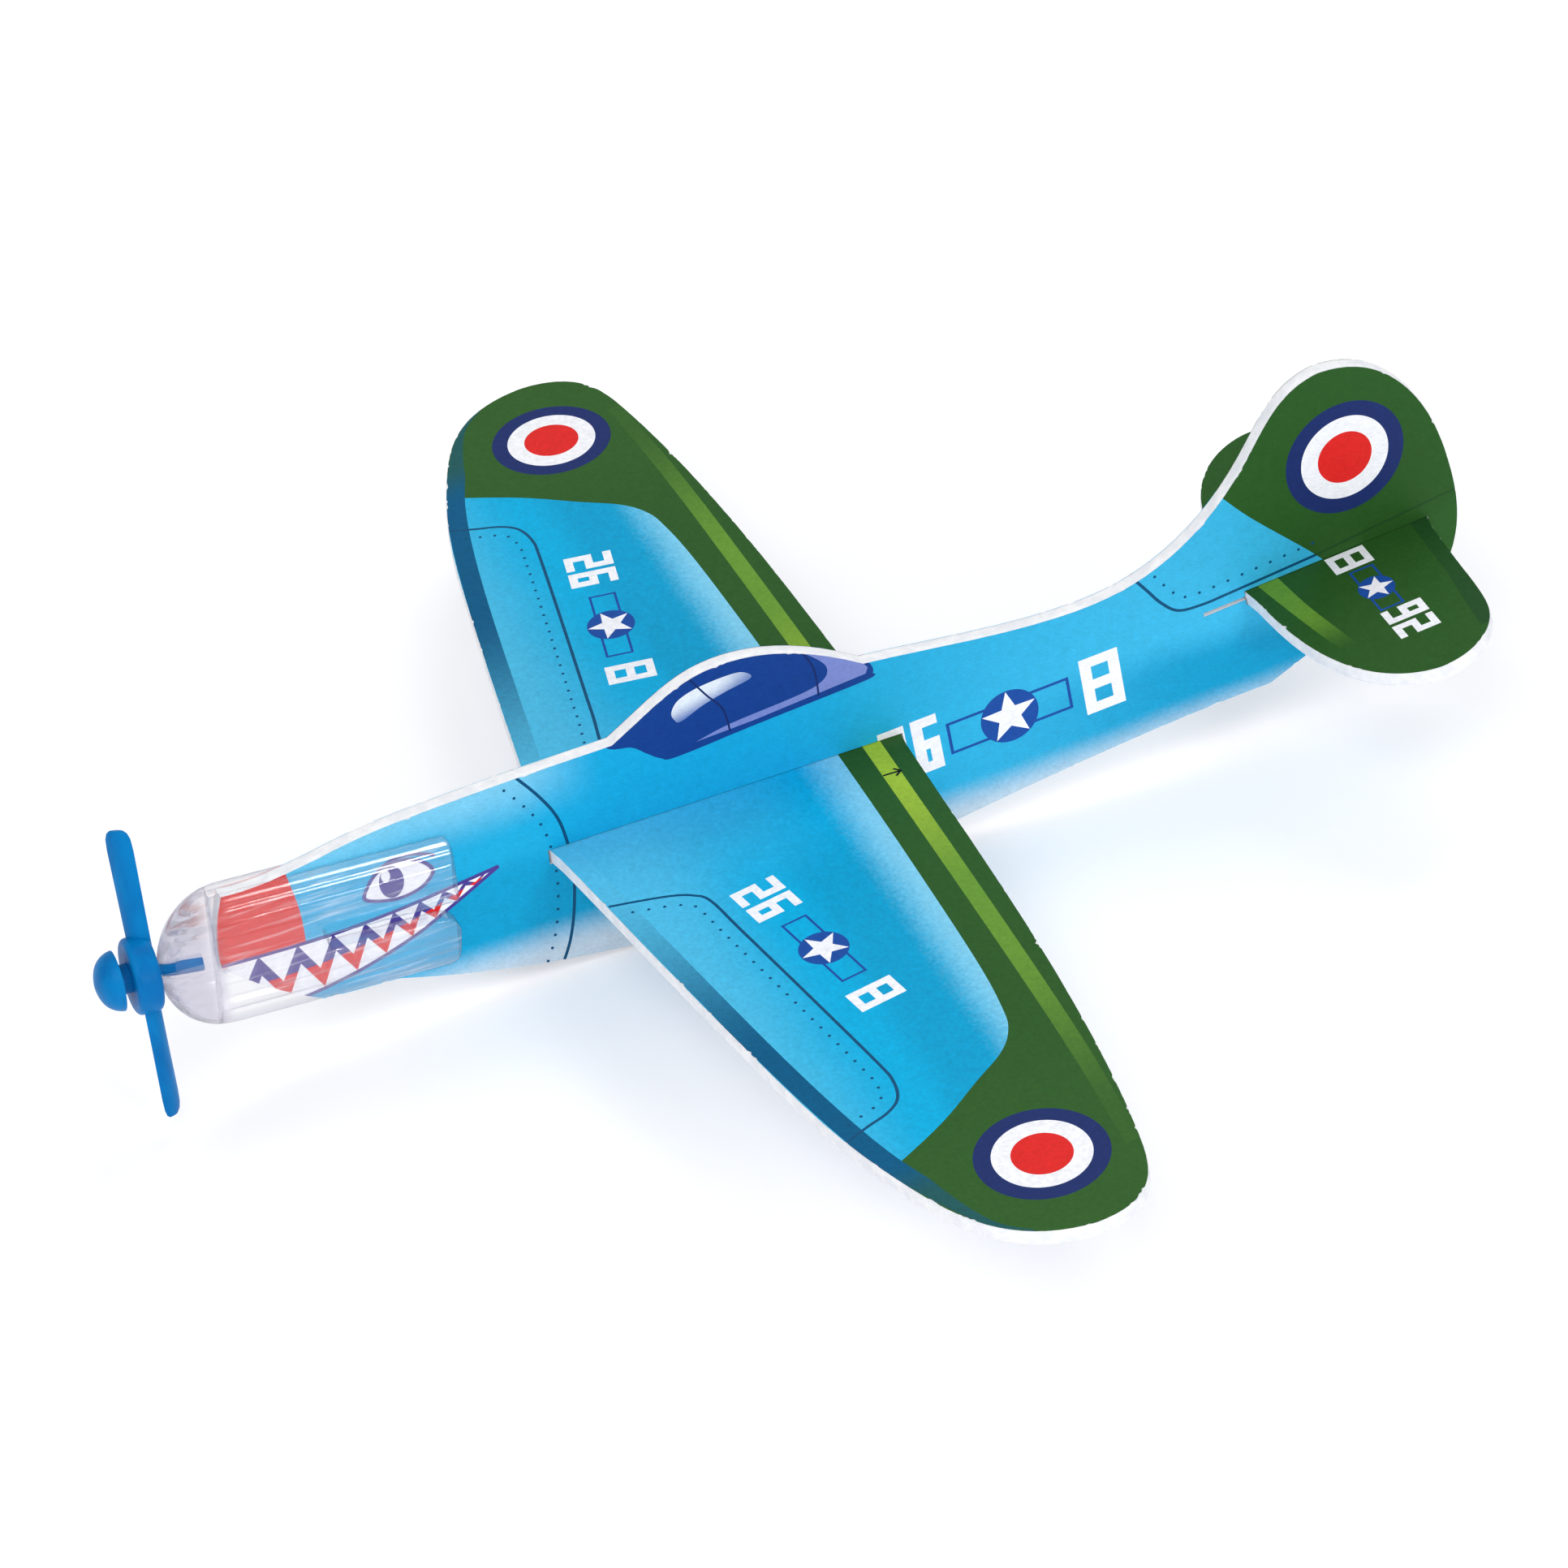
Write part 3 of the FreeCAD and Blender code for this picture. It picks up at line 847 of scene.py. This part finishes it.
def frayed(loop, least, most, seed):
    """How far in the print stops along a cut edge, in millimetres: mostly a hair, with small chips."""
    out = []
    for u, v in loop:
        slow = noise.noise(Vector((u * 0.35, v * 0.35, seed)))
        quick = noise.noise(Vector((u * 2.1, v * 2.1, seed + 7)))
        chip = max(0.0, slow * 1.4 + quick * 1.1 - 0.62)
        out.append(least + (most - least) * min(1.0, chip + 0.12 * abs(quick)))
    return out


PRINT_STEP = 0.45


def print_sheet(name, node, place, painted, back, art, inks, seed):
    """A film of ink: the artwork cut out of the CAD node's own outline, with a frayed edge."""
    foam_set = bpy.context.scene.glider_foam
    outer, *holes = flat_outlines(node, place, painted)
    outer = turned(evened(outer, PRINT_STEP))
    fray = frayed(outer, foam_set.fray_least, foam_set.fray_most, seed)
    outer = drawn_in(outer, [f * in_slot(place, v) for f, (_, v) in zip(fray, outer)])
    shapes = [(ink, loop or outer) for ink, loop in art] + [("hole", hole) for hole in holes]
    spots, painted_faces = painted_triangles(shapes)
    words = sorted({ink for _, ink in painted_faces})
    solid = Solid(name, place, [inks[word] for word in words])
    edges = {}
    for ids, ink in painted_faces:
        slot = words.index(ink)
        solid.face([(*spots[i], painted) for i in ids], slot)
        solid.face([(*spots[i], back) for i in ids], slot)
        for a, b in zip(ids, ids[1:] + ids[:1]):
            edges[(a, b)] = slot
    for (a, b), slot in edges.items():
        if (b, a) not in edges:
            corners = [(*spots[a], painted), (*spots[b], painted), (*spots[b], back), (*spots[a], back)]
            solid.face(corners, slot)
    return solid.finished()


FOAM_STEP = 0.6
RIM_ROWS = 9
RIM_FLAT = 0.45
RIM_INSET = 0.03
RIPPLE = 0.06
PITS = 0.05


def foam_slab(name, node, place, half, material, seed):
    """The foam under the print: a slab, half its thickness each way, whose cut rim is rounded and wavy."""
    foam_set = bpy.context.scene.glider_foam
    low, high = -half, half
    outer, *holes = flat_outlines(node, place, high)
    outer = turned(evened(outer, FOAM_STEP))
    loops = []
    for k in range(RIM_ROWS + 1):
        share = k / RIM_ROWS
        squash = max(0.0, abs(2 * share - 1) - RIM_FLAT) / (1 - RIM_FLAT)
        inward = []
        for u, v in outer:
            ripple = noise.noise(Vector((u * 0.9, v * 0.9, share * 2.2 + seed)))
            pits = noise.noise(Vector((u * 3.0, v * 3.0, share * 5.0 + seed)))
            rough = (RIPPLE * ripple + PITS * pits) * (1 - squash)
            depth = foam_set.edge_round * squash * squash + RIM_INSET + rough
            inward.append(max(0.0, depth) * in_slot(place, v))
        loops.append(at_height(drawn_in(outer, inward), low + (high - low) * share))
    solid = Solid(name, place, [material])
    for lower, upper in zip(loops, loops[1:]):
        solid.wall(lower, upper)
    for hole in holes:
        solid.wall(at_height(hole, low), at_height(hole, high))
    for loop, height in ((loops[0], low), (loops[-1], high)):
        rim = [(u, v) for u, v, _ in loop]
        spots, faces = painted_triangles([("foam", rim)] + [("hole", hole) for hole in holes])
        for ids, _ in faces:
            solid.face([(*spots[i], height) for i in ids])
    return solid.finished(50.0)


# ------------------------------------------------------------------ rivets, by Geometry Nodes

def rivet_tree(material):
    """Dots of ink at even steps along a path."""
    tree = bpy.data.node_groups.new("rivet_row", "GeometryNodeTree")
    sockets = {}
    tree.interface.new_socket("Geometry", in_out="INPUT", socket_type="NodeSocketGeometry")
    for word in ("Pitch", "Radius", "Height"):
        size = tree.interface.new_socket(word, in_out="INPUT", socket_type="NodeSocketFloat")
        sockets[word] = size.identifier
    tree.interface.new_socket("Geometry", in_out="OUTPUT", socket_type="NodeSocketGeometry")

    def node(kind, settings, sockets):
        made = tree.nodes.new(kind)
        for key, value in settings.items():
            setattr(made, key, value)
        for key, value in sockets.items():
            if isinstance(value, bpy.types.NodeSocket):
                tree.links.new(value, made.inputs[key])
            else:
                made.inputs[key].default_value = value
        return made.outputs[0] if made.outputs else None

    given = tree.nodes.new("NodeGroupInput").outputs
    steps = node("GeometryNodeResampleCurve", {"mode": "LENGTH"},
                 {"Curve": given["Geometry"], "Length": given["Pitch"]})
    dot = node("GeometryNodeMeshCylinder", {},
               {"Vertices": 12, "Side Segments": 1, "Radius": given["Radius"], "Depth": given["Height"]})
    row = node("GeometryNodeInstanceOnPoints", {}, {"Points": steps, "Instance": dot})
    real = node("GeometryNodeRealizeInstances", {}, {"Geometry": row})
    done = node("GeometryNodeSetMaterial", {}, {"Geometry": real, "Material": material})
    node("NodeGroupOutput", {}, {"Geometry": done})
    return tree, sockets


def rivet_rows(name, paths, place, height, tree, sockets, pitch=1.85, radius=0.2, raised=0.04):
    """One piece of rivet dots along several paths of a sheet, standing just proud of its print."""
    line = bpy.data.curves.new(name, "CURVE")
    line.dimensions = "3D"
    for path in paths:
        spline = line.splines.new("POLY")
        spline.points.add(len(path) - 1)
        for point, (u, v) in zip(spline.points, path):
            point.co = (u * MM, v * MM, height * MM, 1.0)
    maker = bpy.data.objects.new(name + "_paths", line)
    bpy.context.scene.collection.objects.link(maker)
    rows = maker.modifiers.new("rows", "NODES")
    rows.node_group = tree
    for word, value in (("Pitch", pitch), ("Radius", radius), ("Height", raised)):
        rows[sockets[word]] = value * MM
    bpy.context.view_layer.update()
    held = maker.evaluated_get(bpy.context.evaluated_depsgraph_get())
    data = bpy.data.meshes.new_from_object(held)
    data.name = name
    bpy.data.objects.remove(maker)
    shift = place.copy()
    shift.translation = place.translation * MM
    data.transform(shift)
    piece = bpy.data.objects.new(name, data)
    bpy.context.scene.collection.objects.link(piece)
    return piece


# ------------------------------------------------------------------ properties

def tint(name, description, *shades):
    """A colour property whose default is given as red, green and blue from 0 to 255."""
    return FloatVectorProperty(name=name, description=description, subtype="COLOR", default=srgb(*shades))


class GliderPrint(PropertyGroup):
    sky: tint("Sky", "Main blue of the print", 0, 169, 219)
    pale: tint("Pale sky", "Lighter blue", 84, 188, 226)
    haze: tint("Haze", "Sprayed highlight", 136, 207, 236)
    deep: tint("Deep sky", "Sprayed shadow", 0, 147, 194)
    belly: tint("Belly", "Colour low on the fuselage", 196, 214, 228)
    band: tint("Leading edge", "Band behind the leading edge", 1, 88, 131)
    green: tint("Green", "Dark green", 42, 87, 36)
    moss: tint("Moss", "Lighter green", 54, 97, 41)
    leaf: tint("Leaf", "Stripe green", 100, 148, 52)
    lime: tint("Lime", "Stripe at the root", 160, 192, 58)
    navy: tint("Navy", "Outer ring of the targets", 30, 47, 104)
    cobalt: tint("Cobalt", "Disc under the star", 27, 76, 158)
    red: tint("Red", "Target centre, nose and mouth", 219, 40, 38)
    white: tint("White", "White ink", 240, 242, 248)
    violet: tint("Violet", "Outlines of the mouth and eye", 74, 62, 146)
    canopy: tint("Canopy", "Painted glass", 27, 66, 142)
    pane: tint("Rear pane", "Rear of the painted glass", 128, 140, 205)
    canopy_mist: tint("Glass mist", "Foot of the canopy's highlight", 72, 108, 180)
    line: tint("Panel line", "Panel lines and rivets", 16, 78, 118)


class GliderFoam(PropertyGroup):
    white: tint("Foam", "White of the foam", 243, 244, 247)
    shade: tint("Foam shade", "Duller spots of the foam", 226, 229, 235)
    edge_round: FloatProperty(name="Edge rounding", description="How far the cut edge is pressed in, in mm",
                              default=0.12, min=0.0, max=0.6)
    fray_least: FloatProperty(name="Least fray", description="Least foam showing beside the print, in mm",
                              default=0.17, min=0.0, max=0.5)
    fray_most: FloatProperty(name="Most fray", description="Deepest chip in the print's edge, in mm",
                             default=0.55, min=0.0, max=1.0)


class GliderNose(PropertyGroup):
    clear: tint("Clear tint", "Tint of the clear cap", 206, 202, 216)
    haze: FloatProperty(name="Haze", description="Roughness of the clear cap", default=0.04, min=0.0, max=1.0,
                        subtype="FACTOR")
    blue: tint("Blue", "Propeller and pin", 0, 121, 188)
    blue_deep: tint("Deep blue", "Flow marks in the plastic", 0, 104, 173)
    voxel: FloatProperty(name="Mould grid", description="Grid that rounds the cap's corners, in mm",
                         default=0.2, min=0.15, max=1.0)
    flute: FloatProperty(name="Flutes", description="Depth of the cap's long flutes, in mm", default=0.12,
                         min=0.0, max=0.4)


class GliderStage(PropertyGroup):
    key: FloatProperty(name="Key light", description="Power of the main light", default=4.2, subtype="POWER")
    fill: FloatProperty(name="Fill light", description="Power of the fill lights", default=2.6,
                        subtype="POWER")
    sky: FloatProperty(name="Surround", description="Strength of the white surround", default=0.62)
    floor: tint("Floor", "Floor colour", 250, 250, 252)


# ------------------------------------------------------------------ stage

LIT_SPOT = Vector((0.0, 0.0, 0.02))
FLOOR_GAP = 0.0002


def area_light(name, place, size, power):
    lamp = bpy.data.lights.new(name, "AREA")
    lamp.size = size
    lamp.energy = power
    light = bpy.data.objects.new(name, lamp)
    light.location = place
    light.rotation_euler = (LIT_SPOT - Vector(place)).to_track_quat("-Z", "Y").to_euler()
    bpy.context.scene.collection.objects.link(light)


CAMERA_PLACE = Vector((-0.1771, -0.6217, 0.5049))
CAMERA_AIM = Vector((0.0078, 0.0, 0.016))
CAMERA_ROLL = -8.2
FOCAL_LENGTH = 153.9


def camera():
    """Ahead of the port wing and above it, a long lens, tipped a little."""
    lens = bpy.data.cameras.new("camera")
    lens.lens = FOCAL_LENGTH
    lens.sensor_width = 36.0
    lens.clip_start = 0.01
    view = bpy.data.objects.new("camera", lens)
    roll = Matrix.Rotation(math.radians(CAMERA_ROLL), 3, "Z")
    turn = (CAMERA_AIM - CAMERA_PLACE).to_track_quat("-Z", "Y").to_matrix() @ roll
    view.matrix_world = Matrix.Translation(CAMERA_PLACE) @ turn.to_4x4()
    bpy.context.scene.collection.objects.link(view)
    bpy.context.scene.camera = view


class GLIDER_OT_stage(Operator):
    """Floor, soft lights and camera"""
    bl_idname = "glider.stage"
    bl_label = "Stage"

    def execute(self, context):
        stage = context.scene.glider_stage
        camera()
        mesh = bmesh.new()
        bmesh.ops.create_grid(mesh, x_segments=8, y_segments=8, size=4.0)
        data = bpy.data.meshes.new("floor")
        mesh.to_mesh(data)
        mesh.free()
        data.transform(Matrix.Translation((0, 0, CAD_BOX[0][2] - FLOOR_GAP)))
        finish = Finish("floor_paper")
        paper = finish.grain(6.0, 2.0)
        material = finish.set(Base_Color=finish.tinted(stage.floor, 0.01, paper), Roughness=0.9,
                              Emission_Color=(1.0, 1.0, 1.0), Emission_Strength=0.1)
        floor = placed("floor", data, [material])
        area_light("key", (-0.45, -0.55, 0.9), 0.7, stage.key)
        area_light("fill", (0.3, -1.0, 0.4), 0.22, stage.fill)
        area_light("rim", (0.5, 0.5, 1.0), 0.5, stage.fill)
        world = bpy.data.worlds.new("studio")
        world.use_nodes = True
        world.node_tree.nodes["Background"].inputs["Color"].default_value = (1.0, 1.0, 1.0, 1.0)
        world.node_tree.nodes["Background"].inputs["Strength"].default_value = stage.sky
        context.scene.world = world
        context.scene.view_settings.view_transform = "Standard"
        return {"FINISHED"}


# ------------------------------------------------------------------ pieces

def share_inks():
    """The inks that look the same on every sheet."""
    ink = bpy.context.scene.glider_print
    plain = {word: film("film_" + word, getattr(ink, word))
             for word in ("navy", "cobalt", "red", "white", "violet", "pane", "line")}
    plain["ink"] = film("film_black", srgb(20, 24, 26))
    plain["shade"] = film("film_shade", srgb(34, 76, 36))
    return plain


class GLIDER_OT_foam(Operator):
    """White foam of the fuselage, wing and tailplane"""
    bl_idname = "glider.foam"
    bl_label = "Foam"

    def execute(self, context):
        white = foam("white_foam")
        rows = (
            ("fuselage", FUSELAGE_PLACE, FUSELAGE_CORE_HALF),
            ("wing", flying_place("wing_core", 0.0), FLYING_CORE_HALF),
            ("tailplane", flying_place("tailplane_core", TAIL_TIP_DOWN), FLYING_CORE_HALF),
        )
        for seed, (body, place, half) in enumerate(rows):
            piece = foam_slab(body + "_foam", body + "_core", place, half, white, 11.0 * seed)
            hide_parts(body + "_core")
            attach(piece, body)
        return {"FINISHED"}


class GLIDER_OT_prints(Operator):
    """Printed film on both sides of the fuselage and on top of the wing and tailplane"""
    bl_idname = "glider.prints"
    bl_label = "Prints"

    def execute(self, context):
        ink = context.scene.glider_print
        shared = share_inks()
        fuselage = dict(shared, sky=film("film_sky_fuselage", sky_on_fuselage),
                        green=film("film_green", ink.green),
                        glass=film("film_canopy", ink.canopy),
                        glint=film("film_glint", glass_on_canopy))
        wing = dict(shared, sky=film("film_sky_wing", sky_on_wing),
                    green=film("film_green_wing", green_on_wing),
                    band=film("film_edge_band", edge_band_on_wing),
                    lime=film("film_lime_wing", lime_on_wing))
        tail = dict(shared, green=film("film_green_tail", green_on_wing),
                    lime=film("film_lime_tail", lime_on_tail))
        wing_place = flying_place("wing_core", 0.0)
        tail_place = flying_place("tailplane_core", TAIL_TIP_DOWN)
        top, under = FLYING_CORE_HALF + FILM_THICK, FLYING_CORE_HALF
        sheets = (
            ("port_print", "fuselage_skin_port", "fuselage", FUSELAGE_PLACE,
             SHEET_HALF, FUSELAGE_CORE_HALF, fuselage_art(1), fuselage),
            ("starboard_print", "fuselage_skin_starboard", "fuselage", FUSELAGE_PLACE,
             -SHEET_HALF, -FUSELAGE_CORE_HALF, fuselage_art(-1), fuselage),
            ("wing_print", "wing_skin", "wing", wing_place, top, under, wing_art(), wing),
            ("tailplane_print", "tailplane_skin", "tailplane", tail_place, top, under, tail_art(), tail),
        )
        for seed, (name, node, body, place, painted, back, art, inks) in enumerate(sheets):
            piece = print_sheet(name, node, place, painted, back, art, inks, 5.0 * seed)
            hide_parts(node)
            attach(piece, body)
        return {"FINISHED"}


class GLIDER_OT_rivets(Operator):
    """Rows of printed rivet dots beside the panel lines"""
    bl_idname = "glider.rivets"
    bl_label = "Rivets"

    def execute(self, context):
        tree, sockets = rivet_tree(bpy.data.materials["film_line"])
        fuselage_rows = [beside(NOSE_LINE, -2.1)[1:-1], beside(TAIL_LINE, 1.9)[6:]]
        wing_rows = [on_side(beside(path, 1.9)[6:-6], side) for side, path in WING_PANELS.items()]
        wing_place = flying_place("wing_core", 0.0)
        rows = (
            ("rivets_port", fuselage_rows, FUSELAGE_PLACE, SHEET_HALF, "fuselage"),
            ("rivets_starboard", fuselage_rows, FUSELAGE_PLACE, -SHEET_HALF, "fuselage"),
            ("rivets_wing", wing_rows, wing_place, FLYING_CORE_HALF + FILM_THICK, "wing"),
        )
        for name, paths, place, height, body in rows:
            piece = rivet_rows(name, paths, place, height, tree, sockets)
            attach(piece, body)
        return {"FINISHED"}


# along and across the nose's own frame, in millimetres
DOME_BACK = -12.4
CHEEK_INSIDE = 1.6
FLUTES = (-6.6, -4.4, -2.4, 2.6, 4.6, 6.4, 8.0)
FLUTE_WIDTH = 0.34


def moulded_cap(context):
    """The cap's own solid with its corners softened and shallow flutes along its cheeks."""
    nose = context.scene.glider_nose
    data = frame["nodes"]["nose_cap"].data.copy()
    data.name = "clear_cap"
    mesh = bmesh.new()
    mesh.from_mesh(data)
    bmesh.ops.remove_doubles(mesh, verts=mesh.verts, dist=1e-6)
    mesh.to_mesh(data)
    mesh.free()
    data.materials.clear()
    piece = placed("clear_cap", data, [])
    grid = piece.modifiers.new("grid", "REMESH")
    grid.mode = "VOXEL"
    grid.voxel_size = nose.voxel * MM
    relax = piece.modifiers.new("relax", "SMOOTH")
    relax.factor = 0.5
    relax.iterations = 10
    bpy.context.view_layer.update()
    held = piece.evaluated_get(context.evaluated_depsgraph_get())
    soft = bpy.data.meshes.new_from_object(held)
    soft.name = "clear_cap"
    bpy.data.objects.remove(piece)
    place = nose_place()
    back = place.inverted()
    for v in soft.vertices:
        local = back @ (v.co / MM)
        if abs(local.y) > CHEEK_INSIDE and local.x > DOME_BACK:
            dip = sum(math.exp(-((local.z - height) / FLUTE_WIDTH) ** 2) for height in FLUTES)
            local.y -= math.copysign(nose.flute * dip, local.y)
            v.co = (place @ local) * MM
    return placed("clear_cap", soft, [clear_plastic("clear_plastic")], 180.0)


class GLIDER_OT_nose(Operator):
    """Clear nose cap, pin and propeller"""
    bl_idname = "glider.nose"
    bl_label = "Nose"

    def execute(self, context):
        cap = moulded_cap(context)
        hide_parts("nose_cap")
        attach(cap, "nose")
        blue = blue_plastic("blue_plastic")
        for node in ("prop_pin", "propeller"):
            for slot in frame["nodes"][node].material_slots:
                slot.material = blue
        return {"FINISHED"}


class GLIDER_PT_panel(Panel):
    """Builds the glider piece by piece"""
    bl_idname = "GLIDER_PT_panel"
    bl_label = "Foam Glider"
    bl_space_type = "VIEW_3D"
    bl_region_type = "UI"
    bl_category = "Glider"

    def draw(self, context):
        for operator in OPERATORS:
            self.layout.operator(operator.bl_idname)


GROUPS = {"glider_print": GliderPrint, "glider_foam": GliderFoam, "glider_nose": GliderNose,
          "glider_stage": GliderStage}
OPERATORS = (GLIDER_OT_stage, GLIDER_OT_foam, GLIDER_OT_prints, GLIDER_OT_rivets, GLIDER_OT_nose)


def register():
    for kind in (*GROUPS.values(), *OPERATORS, GLIDER_PT_panel):
        bpy.utils.register_class(kind)
    for word, kind in GROUPS.items():
        setattr(bpy.types.Scene, word, PointerProperty(type=kind))


def unregister():
    for word in GROUPS:
        delattr(bpy.types.Scene, word)
    for kind in (GLIDER_PT_panel, *OPERATORS, *GROUPS.values()):
        bpy.utils.unregister_class(kind)


def main():
    register()
    bpy.ops.glider.stage()
    bpy.ops.glider.foam()
    bpy.ops.glider.prints()
    bpy.ops.glider.rivets()
    bpy.ops.glider.nose()


if __name__ == "__main__":
    main()
